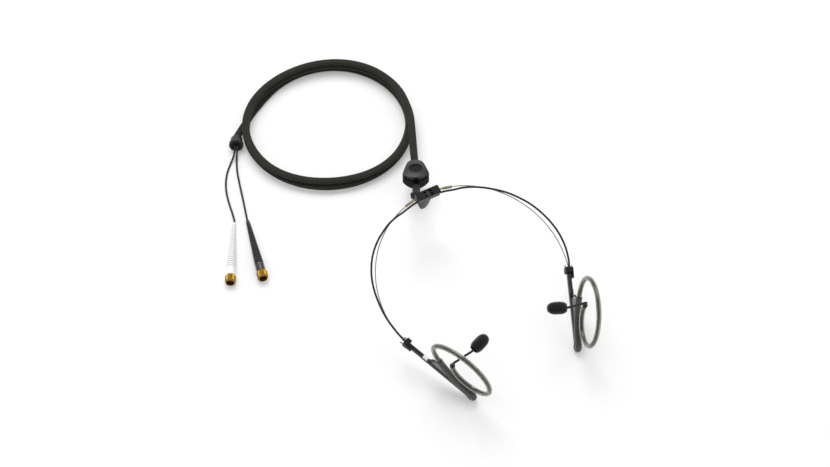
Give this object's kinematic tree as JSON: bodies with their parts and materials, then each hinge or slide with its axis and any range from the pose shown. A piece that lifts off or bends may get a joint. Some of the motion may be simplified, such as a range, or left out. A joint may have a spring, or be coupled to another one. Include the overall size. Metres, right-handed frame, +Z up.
{
  "type": "neckband headset microphone",
  "caption": "Behind-the-neck wire headset with an ear ring and small foam-covered microphone at each side, on a flat braided cord with garment clip, splitter and screw plugs.",
  "frame": {"origin": "centre of the headset's own box, without its cord, on the surface that it lies on", "axes": "+Z up, +Y towards the adjuster block behind the neck, +X to the side of the red-brown marker"},
  "size_m": [0.2415, 0.3864, 0.0661],
  "materials": {
    "black_housing": "satin moulded black",
    "saddle": "satin",
    "spring_wire": "beige coated spring wire",
    "crimp": "dull nickel",
    "mic_cable": "matt black jacket",
    "arm": "satin moulded black",
    "marker_white": "white sleeve",
    "ferrule": "dull nickel",
    "clear_tube": "clear smoky tube",
    "tube_core": "dark olive",
    "bush": "dark grey",
    "capsule": "matt black",
    "grid": "bare metal",
    "foam": "open-cell black foam",
    "marker_red": "red-brown sleeve",
    "clip_body": "satin black",
    "clip_shell": "satin dark grey",
    "steel": "bright steel",
    "braid": "braided dark olive-grey",
    "splitter": "satin black",
    "lead": "matt dark grey jacket",
    "white_relief": "soft white",
    "gold": "gold-plated knurled",
    "insulator": "white insulator",
    "black_relief": "soft black"
  },
  "bodies": {
    "block": {"block_housing": "black_housing", "block_back_cover": "black_housing", "wire_lock": "saddle", "clip_body": "clip_body", "clip_hinge_pin": "steel", "clip_spring": "steel", "cord_rise": "braid", "cord_coil": "braid", "cord_tail": "braid", "splitter_sleeve": "splitter", "splitter_plug": "splitter", "white_lead": "lead", "white_strain_relief": "white_relief", "white_plug_body": "gold", "white_insulator": "insulator", "white_centre_pin": "gold", "black_lead": "lead", "black_strain_relief": "black_relief", "black_plug_body": "gold", "black_insulator": "insulator", "black_centre_pin": "gold"},
    "left_half": {"left_band_wire": "spring_wire", "left_tail_crimp": "crimp", "left_mic_cable": "mic_cable", "left_collar": "arm", "left_ear_arm": "arm", "left_marker_sleeve": "marker_white", "left_ferrule": "ferrule", "left_ring_tube": "clear_tube", "left_ring_cable": "tube_core", "left_ring_wire": "tube_core", "left_tube_plug": "bush"},
    "right_half": {"right_band_wire": "spring_wire", "right_tail_crimp": "crimp", "right_mic_cable": "mic_cable", "right_collar": "arm", "right_ear_arm": "arm", "right_marker_sleeve": "marker_red", "right_ferrule": "ferrule", "right_ring_tube": "clear_tube", "right_ring_cable": "tube_core", "right_ring_wire": "tube_core", "right_tube_plug": "bush"},
    "left_boom": {"left_mic_boom": "mic_cable", "left_mic_capsule": "capsule", "left_mic_grid": "grid"},
    "right_boom": {"right_mic_boom": "mic_cable", "right_mic_capsule": "capsule", "right_mic_grid": "grid"},
    "left_foam": {"left_windscreen": "foam"},
    "right_foam": {"right_windscreen": "foam"},
    "clip_upper_jaw": {"clip_jaw": "clip_shell"},
    "white_nut": {"white_coupling_nut": "gold"},
    "black_nut": {"black_coupling_nut": "gold"}
  },
  "joints": [
    {"name": "left_band_adjust", "type": "hinge", "parent": "block", "child": "left_half", "pos_m": [0, 0.01237, 0.03039], "axis": [0, -0.3256, 0.9455], "range_deg": [-5, 2]},
    {"name": "right_band_adjust", "type": "hinge", "parent": "block", "child": "right_half", "pos_m": [0, 0.01237, 0.03039], "axis": [0, -0.3256, 0.9455], "range_deg": [-2, 5]},
    {"name": "left_boom_swivel", "type": "hinge", "parent": "left_half", "child": "left_boom", "pos_m": [-0.05756, -0.05872, 0.03788], "axis": [-0.0837, -0.2866, 0.9544], "range_deg": [-25, 25]},
    {"name": "left_windscreen_slide", "type": "slide", "parent": "left_boom", "child": "left_foam", "axis": [0.9341, 0.3127, 0.1722], "range_m": [0, 0.014]},
    {"name": "right_boom_swivel", "type": "hinge", "parent": "right_half", "child": "right_boom", "pos_m": [0.05756, -0.05872, 0.03788], "axis": [0.0837, -0.2866, 0.9544], "range_deg": [-25, 25]},
    {"name": "right_windscreen_slide", "type": "slide", "parent": "right_boom", "child": "right_foam", "axis": [-0.9341, 0.3127, 0.1722], "range_m": [0, 0.014]},
    {"name": "clip_jaw_hinge", "type": "hinge", "parent": "block", "child": "clip_upper_jaw", "pos_m": [0.01994, 0.13795, 0.01898], "axis": [-0.891, 0.454, 0], "range_deg": [0, 20], "stiffness_Nm_per_rad": 0.02, "springref_deg": -17.19},
    {"name": "white_nut_turn", "type": "hinge", "parent": "block", "child": "white_nut", "pos_m": [-0.1585, 0.1142, 0.00462], "axis": [0.4735, 0.8795, -0.0482], "continuous": true},
    {"name": "black_nut_turn", "type": "hinge", "parent": "block", "child": "black_nut", "pos_m": [-0.134, 0.1056, 0.00462], "axis": [0.2501, 0.967, -0.0482], "continuous": true}
  ]
}
